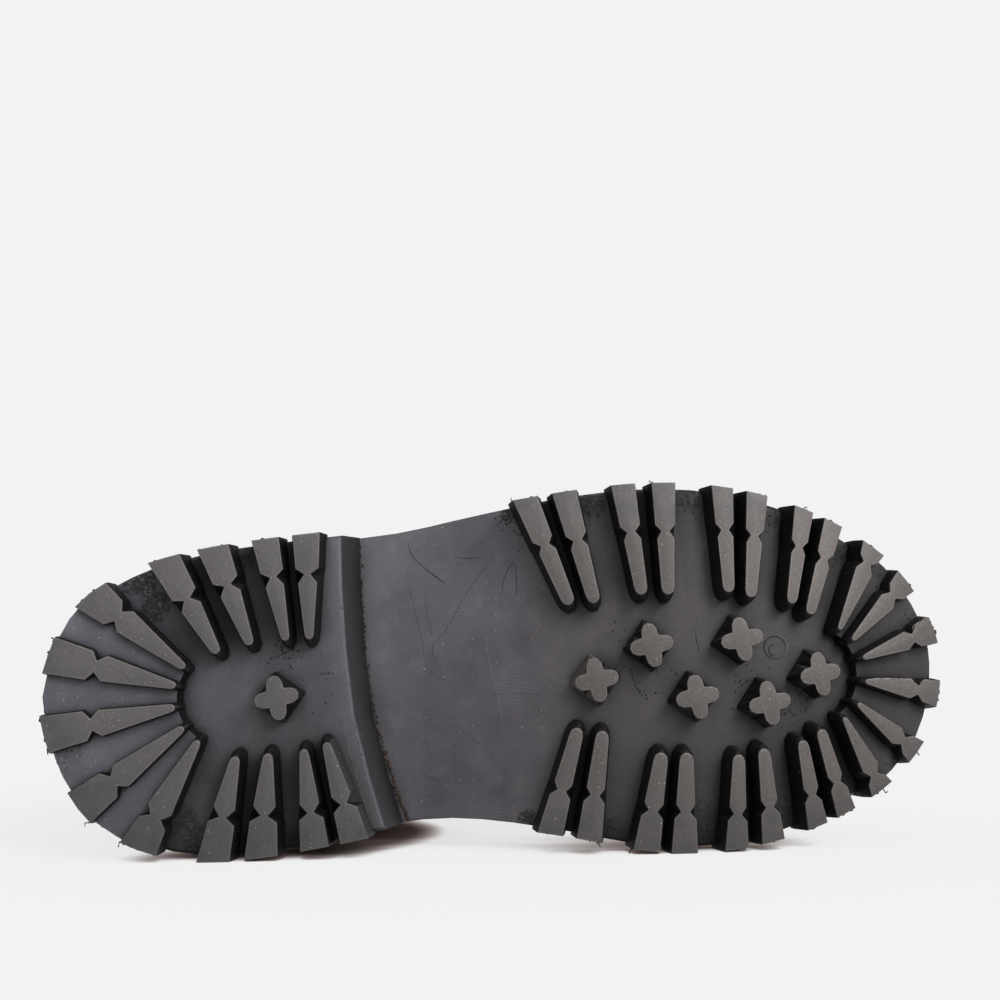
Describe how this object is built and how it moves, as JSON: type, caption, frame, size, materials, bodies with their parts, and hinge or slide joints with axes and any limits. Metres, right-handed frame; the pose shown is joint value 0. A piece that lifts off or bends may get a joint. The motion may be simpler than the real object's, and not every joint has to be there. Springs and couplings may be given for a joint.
{
  "type": "motorcycle boot",
  "caption": "Right motorcycle boot with a tall leather shaft and a deep-lugged rubber sole, lying on its inner side.",
  "frame": {"origin": "centre of the bounding box in plan, at the floor the boot lies on", "axes": "+X from heel to toe, +Y from the tread up the shaft, +Z away from the floor, through the boot's width"},
  "size_m": [0.2942, 0.2724, 0.1184],
  "materials": {
    "sole_rubber": "matte, moulded",
    "upper_leather": "waxed, dark brown",
    "insole_leather": "matte"
  },
  "bodies": {
    "root": {"outsole": "sole_rubber", "heel": "sole_rubber", "upper": "upper_leather", "insole": "insole_leather"}
  },
  "joints": []
}
